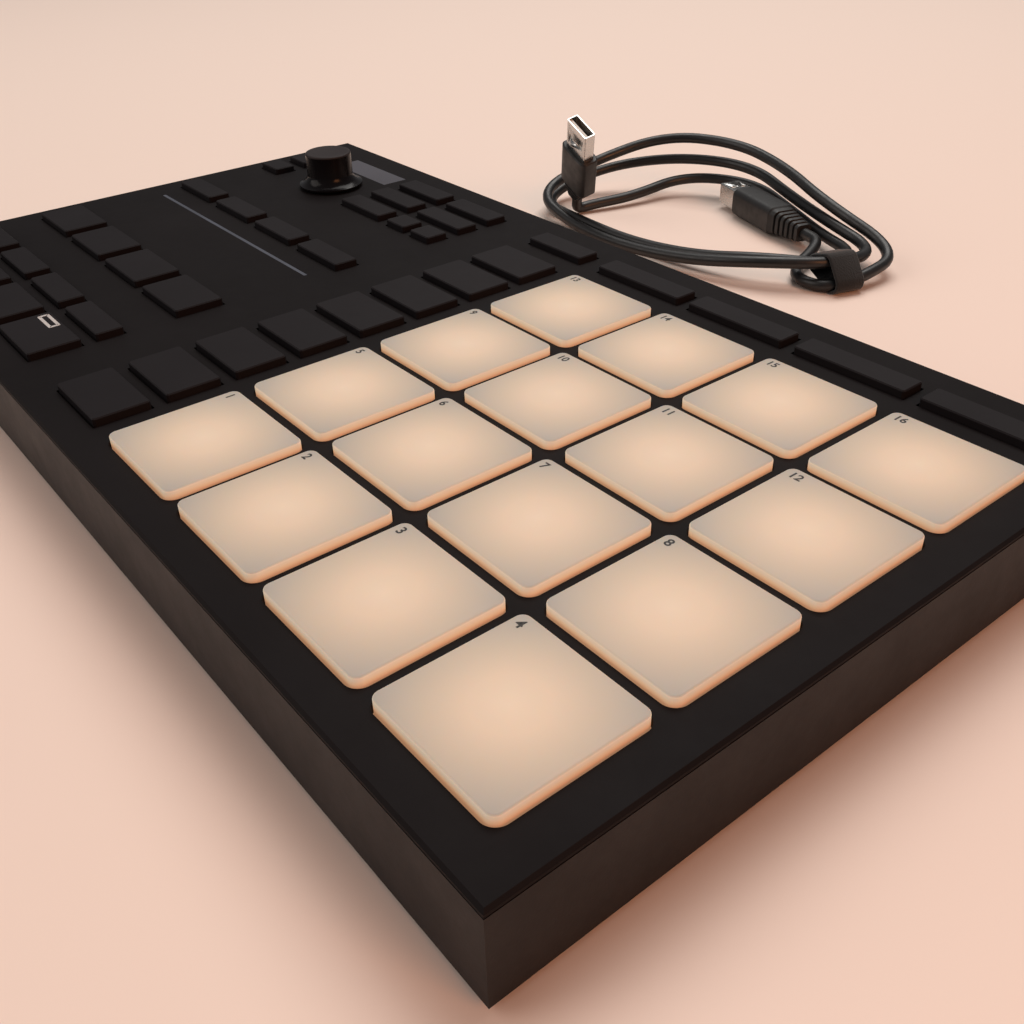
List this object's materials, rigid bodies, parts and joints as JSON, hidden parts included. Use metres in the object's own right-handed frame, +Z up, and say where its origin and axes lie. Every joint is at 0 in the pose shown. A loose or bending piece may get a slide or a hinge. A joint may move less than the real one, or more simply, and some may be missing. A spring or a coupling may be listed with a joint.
{
  "type": "drum machine",
  "caption": "Flat pad drum machine: square silicone pads, rows of keys, a push-turn knob, a small display and a touch strip, with its USB lead unplugged and coiled behind it.",
  "frame": {"origin": "on the table, under the middle of the case", "axes": "+X along the long front edge, to the right; +Y from front to back; +Z up"},
  "size_m": [0.32, 0.2976, 0.042],
  "materials": {
    "housing": "fine moulded texture",
    "board": "solder resist over glass epoxy",
    "window": "smoked clear plastic",
    "foot_rubber": "matte",
    "screw_steel": "blackened",
    "lead_jacket": "satin vinyl jacket",
    "plug_moulding": "moulded vinyl with a plated steel shell",
    "shaft_metal": "turned",
    "knob_gloss": "gloss side, soft dished top",
    "pad_silicone": "translucent cream silicone",
    "key_plastic": "satin"
  },
  "bodies": {
    "housing": {"top_cover": "housing", "bottom_case": "housing", "circuit_board": "board", "display_window": "window", "rubber_feet": "foot_rubber", "case_screws": "screw_steel", "usb_lead": "lead_jacket", "usb_plug_a": "plug_moulding", "usb_plug_b": "plug_moulding"},
    "encoder_shaft": {"encoder_shaft": "shaft_metal"},
    "knob": {"knob": "knob_gloss"},
    "pad_1": {"pad_1": "pad_silicone"},
    "pad_2": {"pad_2": "pad_silicone"},
    "pad_3": {"pad_3": "pad_silicone"},
    "pad_4": {"pad_4": "pad_silicone"},
    "pad_5": {"pad_5": "pad_silicone"},
    "pad_6": {"pad_6": "pad_silicone"},
    "pad_7": {"pad_7": "pad_silicone"},
    "pad_8": {"pad_8": "pad_silicone"},
    "pad_9": {"pad_9": "pad_silicone"},
    "pad_10": {"pad_10": "pad_silicone"},
    "pad_11": {"pad_11": "pad_silicone"},
    "pad_12": {"pad_12": "pad_silicone"},
    "pad_13": {"pad_13": "pad_silicone"},
    "pad_14": {"pad_14": "pad_silicone"},
    "pad_15": {"pad_15": "pad_silicone"},
    "pad_16": {"pad_16": "pad_silicone"},
    "column_key_1": {"column_key_1": "key_plastic"},
    "column_key_2": {"column_key_2": "key_plastic"},
    "column_key_3": {"column_key_3": "key_plastic"},
    "column_key_4": {"column_key_4": "key_plastic"},
    "column_key_5": {"column_key_5": "key_plastic"},
    "column_key_6": {"column_key_6": "key_plastic"},
    "column_key_7": {"column_key_7": "key_plastic"},
    "column_key_8": {"column_key_8": "key_plastic"},
    "mode_key_1": {"mode_key_1": "key_plastic"},
    "mode_key_2": {"mode_key_2": "key_plastic"},
    "mode_key_3": {"mode_key_3": "key_plastic"},
    "mode_key_4": {"mode_key_4": "key_plastic"},
    "mode_key_5": {"mode_key_5": "key_plastic"},
    "front_key_1": {"front_key_1": "key_plastic"},
    "front_key_2": {"front_key_2": "key_plastic"},
    "front_key_3": {"front_key_3": "key_plastic"},
    "front_key_4": {"front_key_4": "key_plastic"},
    "second_row_keys": {"second_row_keys": "key_plastic"},
    "third_row_key_1": {"third_row_key_1": "key_plastic"},
    "third_row_key_2": {"third_row_key_2": "key_plastic"},
    "third_row_key_3": {"third_row_key_3": "key_plastic"},
    "third_row_key_4": {"third_row_key_4": "key_plastic"},
    "back_row_key_1": {"back_row_key_1": "key_plastic"},
    "back_row_key_2": {"back_row_key_2": "key_plastic"},
    "back_row_key_3": {"back_row_key_3": "key_plastic"},
    "back_row_key_4": {"back_row_key_4": "key_plastic"},
    "menu_key_1": {"menu_key_1": "key_plastic"},
    "menu_key_2": {"menu_key_2": "key_plastic"},
    "menu_key_3": {"menu_key_3": "key_plastic"},
    "menu_key_4": {"menu_key_4": "key_plastic"},
    "menu_key_5": {"menu_key_5": "key_plastic"},
    "arrow_keys": {"arrow_keys": "key_plastic"},
    "side_keys": {"side_keys": "key_plastic"}
  },
  "joints": [
    {"name": "encoder_turn", "type": "hinge", "parent": "housing", "child": "encoder_shaft", "pos_m": [-0.1152, 0.0539, 0.0236], "axis": [0, 0, 1], "continuous": true},
    {"name": "knob_push", "type": "slide", "parent": "encoder_shaft", "child": "knob", "axis": [0, 0, -1], "range_m": [0, 0.0005], "stiffness_N_per_m": 300, "springref_m": -0.001},
    {"name": "pad_1_press", "type": "slide", "parent": "housing", "child": "pad_1", "axis": [0, 0, -1], "range_m": [0, 0.0005], "stiffness_N_per_m": 300, "springref_m": -0.001},
    {"name": "pad_2_press", "type": "slide", "parent": "housing", "child": "pad_2", "axis": [0, 0, -1], "range_m": [0, 0.0005], "stiffness_N_per_m": 300, "springref_m": -0.001},
    {"name": "pad_3_press", "type": "slide", "parent": "housing", "child": "pad_3", "axis": [0, 0, -1], "range_m": [0, 0.0005], "stiffness_N_per_m": 300, "springref_m": -0.001},
    {"name": "pad_4_press", "type": "slide", "parent": "housing", "child": "pad_4", "axis": [0, 0, -1], "range_m": [0, 0.0005], "stiffness_N_per_m": 300, "springref_m": -0.001},
    {"name": "pad_5_press", "type": "slide", "parent": "housing", "child": "pad_5", "axis": [0, 0, -1], "range_m": [0, 0.0005], "stiffness_N_per_m": 300, "springref_m": -0.001},
    {"name": "pad_6_press", "type": "slide", "parent": "housing", "child": "pad_6", "axis": [0, 0, -1], "range_m": [0, 0.0005], "stiffness_N_per_m": 300, "springref_m": -0.001},
    {"name": "pad_7_press", "type": "slide", "parent": "housing", "child": "pad_7", "axis": [0, 0, -1], "range_m": [0, 0.0005], "stiffness_N_per_m": 300, "springref_m": -0.001},
    {"name": "pad_8_press", "type": "slide", "parent": "housing", "child": "pad_8", "axis": [0, 0, -1], "range_m": [0, 0.0005], "stiffness_N_per_m": 300, "springref_m": -0.001},
    {"name": "pad_9_press", "type": "slide", "parent": "housing", "child": "pad_9", "axis": [0, 0, -1], "range_m": [0, 0.0005], "stiffness_N_per_m": 300, "springref_m": -0.001},
    {"name": "pad_10_press", "type": "slide", "parent": "housing", "child": "pad_10", "axis": [0, 0, -1], "range_m": [0, 0.0005], "stiffness_N_per_m": 300, "springref_m": -0.001},
    {"name": "pad_11_press", "type": "slide", "parent": "housing", "child": "pad_11", "axis": [0, 0, -1], "range_m": [0, 0.0005], "stiffness_N_per_m": 300, "springref_m": -0.001},
    {"name": "pad_12_press", "type": "slide", "parent": "housing", "child": "pad_12", "axis": [0, 0, -1], "range_m": [0, 0.0005], "stiffness_N_per_m": 300, "springref_m": -0.001},
    {"name": "pad_13_press", "type": "slide", "parent": "housing", "child": "pad_13", "axis": [0, 0, -1], "range_m": [0, 0.0005], "stiffness_N_per_m": 300, "springref_m": -0.001},
    {"name": "pad_14_press", "type": "slide", "parent": "housing", "child": "pad_14", "axis": [0, 0, -1], "range_m": [0, 0.0005], "stiffness_N_per_m": 300, "springref_m": -0.001},
    {"name": "pad_15_press", "type": "slide", "parent": "housing", "child": "pad_15", "axis": [0, 0, -1], "range_m": [0, 0.0005], "stiffness_N_per_m": 300, "springref_m": -0.001},
    {"name": "pad_16_press", "type": "slide", "parent": "housing", "child": "pad_16", "axis": [0, 0, -1], "range_m": [0, 0.0005], "stiffness_N_per_m": 300, "springref_m": -0.001},
    {"name": "column_key_1_press", "type": "slide", "parent": "housing", "child": "column_key_1", "axis": [0, 0, -1], "range_m": [0, 0.001], "stiffness_N_per_m": 300, "springref_m": -0.001},
    {"name": "column_key_2_press", "type": "slide", "parent": "housing", "child": "column_key_2", "axis": [0, 0, -1], "range_m": [0, 0.001], "stiffness_N_per_m": 300, "springref_m": -0.001},
    {"name": "column_key_3_press", "type": "slide", "parent": "housing", "child": "column_key_3", "axis": [0, 0, -1], "range_m": [0, 0.001], "stiffness_N_per_m": 300, "springref_m": -0.001},
    {"name": "column_key_4_press", "type": "slide", "parent": "housing", "child": "column_key_4", "axis": [0, 0, -1], "range_m": [0, 0.001], "stiffness_N_per_m": 300, "springref_m": -0.001},
    {"name": "column_key_5_press", "type": "slide", "parent": "housing", "child": "column_key_5", "axis": [0, 0, -1], "range_m": [0, 0.001], "stiffness_N_per_m": 300, "springref_m": -0.001},
    {"name": "column_key_6_press", "type": "slide", "parent": "housing", "child": "column_key_6", "axis": [0, 0, -1], "range_m": [0, 0.001], "stiffness_N_per_m": 300, "springref_m": -0.001},
    {"name": "column_key_7_press", "type": "slide", "parent": "housing", "child": "column_key_7", "axis": [0, 0, -1], "range_m": [0, 0.001], "stiffness_N_per_m": 300, "springref_m": -0.001},
    {"name": "column_key_8_press", "type": "slide", "parent": "housing", "child": "column_key_8", "axis": [0, 0, -1], "range_m": [0, 0.001], "stiffness_N_per_m": 300, "springref_m": -0.001},
    {"name": "mode_key_1_press", "type": "slide", "parent": "housing", "child": "mode_key_1", "axis": [0, 0, -1], "range_m": [0, 0.001], "stiffness_N_per_m": 300, "springref_m": -0.001},
    {"name": "mode_key_2_press", "type": "slide", "parent": "housing", "child": "mode_key_2", "axis": [0, 0, -1], "range_m": [0, 0.001], "stiffness_N_per_m": 300, "springref_m": -0.001},
    {"name": "mode_key_3_press", "type": "slide", "parent": "housing", "child": "mode_key_3", "axis": [0, 0, -1], "range_m": [0, 0.001], "stiffness_N_per_m": 300, "springref_m": -0.001},
    {"name": "mode_key_4_press", "type": "slide", "parent": "housing", "child": "mode_key_4", "axis": [0, 0, -1], "range_m": [0, 0.001], "stiffness_N_per_m": 300, "springref_m": -0.001},
    {"name": "mode_key_5_press", "type": "slide", "parent": "housing", "child": "mode_key_5", "axis": [0, 0, -1], "range_m": [0, 0.001], "stiffness_N_per_m": 300, "springref_m": -0.001},
    {"name": "front_key_1_press", "type": "slide", "parent": "housing", "child": "front_key_1", "axis": [0, 0, -1], "range_m": [0, 0.001], "stiffness_N_per_m": 300, "springref_m": -0.001},
    {"name": "front_key_2_press", "type": "slide", "parent": "housing", "child": "front_key_2", "axis": [0, 0, -1], "range_m": [0, 0.001], "stiffness_N_per_m": 300, "springref_m": -0.001},
    {"name": "front_key_3_press", "type": "slide", "parent": "housing", "child": "front_key_3", "axis": [0, 0, -1], "range_m": [0, 0.001], "stiffness_N_per_m": 300, "springref_m": -0.001},
    {"name": "front_key_4_press", "type": "slide", "parent": "housing", "child": "front_key_4", "axis": [0, 0, -1], "range_m": [0, 0.001], "stiffness_N_per_m": 300, "springref_m": -0.001},
    {"name": "second_row_keys_press", "type": "slide", "parent": "housing", "child": "second_row_keys", "axis": [0, 0, -1], "range_m": [0, 0.001], "stiffness_N_per_m": 300, "springref_m": -0.001},
    {"name": "third_row_key_1_press", "type": "slide", "parent": "housing", "child": "third_row_key_1", "axis": [0, 0, -1], "range_m": [0, 0.001], "stiffness_N_per_m": 300, "springref_m": -0.001},
    {"name": "third_row_key_2_press", "type": "slide", "parent": "housing", "child": "third_row_key_2", "axis": [0, 0, -1], "range_m": [0, 0.001], "stiffness_N_per_m": 300, "springref_m": -0.001},
    {"name": "third_row_key_3_press", "type": "slide", "parent": "housing", "child": "third_row_key_3", "axis": [0, 0, -1], "range_m": [0, 0.001], "stiffness_N_per_m": 300, "springref_m": -0.001},
    {"name": "third_row_key_4_press", "type": "slide", "parent": "housing", "child": "third_row_key_4", "axis": [0, 0, -1], "range_m": [0, 0.001], "stiffness_N_per_m": 300, "springref_m": -0.001},
    {"name": "back_row_key_1_press", "type": "slide", "parent": "housing", "child": "back_row_key_1", "axis": [0, 0, -1], "range_m": [0, 0.001], "stiffness_N_per_m": 300, "springref_m": -0.001},
    {"name": "back_row_key_2_press", "type": "slide", "parent": "housing", "child": "back_row_key_2", "axis": [0, 0, -1], "range_m": [0, 0.001], "stiffness_N_per_m": 300, "springref_m": -0.001},
    {"name": "back_row_key_3_press", "type": "slide", "parent": "housing", "child": "back_row_key_3", "axis": [0, 0, -1], "range_m": [0, 0.001], "stiffness_N_per_m": 300, "springref_m": -0.001},
    {"name": "back_row_key_4_press", "type": "slide", "parent": "housing", "child": "back_row_key_4", "axis": [0, 0, -1], "range_m": [0, 0.001], "stiffness_N_per_m": 300, "springref_m": -0.001},
    {"name": "menu_key_1_press", "type": "slide", "parent": "housing", "child": "menu_key_1", "axis": [0, 0, -1], "range_m": [0, 0.001], "stiffness_N_per_m": 300, "springref_m": -0.001},
    {"name": "menu_key_2_press", "type": "slide", "parent": "housing", "child": "menu_key_2", "axis": [0, 0, -1], "range_m": [0, 0.001], "stiffness_N_per_m": 300, "springref_m": -0.001},
    {"name": "menu_key_3_press", "type": "slide", "parent": "housing", "child": "menu_key_3", "axis": [0, 0, -1], "range_m": [0, 0.001], "stiffness_N_per_m": 300, "springref_m": -0.001},
    {"name": "menu_key_4_press", "type": "slide", "parent": "housing", "child": "menu_key_4", "axis": [0, 0, -1], "range_m": [0, 0.001], "stiffness_N_per_m": 300, "springref_m": -0.001},
    {"name": "menu_key_5_press", "type": "slide", "parent": "housing", "child": "menu_key_5", "axis": [0, 0, -1], "range_m": [0, 0.001], "stiffness_N_per_m": 300, "springref_m": -0.001},
    {"name": "arrow_keys_press", "type": "slide", "parent": "housing", "child": "arrow_keys", "axis": [0, 0, -1], "range_m": [0, 0.001], "stiffness_N_per_m": 300, "springref_m": -0.001},
    {"name": "side_keys_press", "type": "slide", "parent": "housing", "child": "side_keys", "axis": [0, 0, -1], "range_m": [0, 0.001], "stiffness_N_per_m": 300, "springref_m": -0.001}
  ]
}
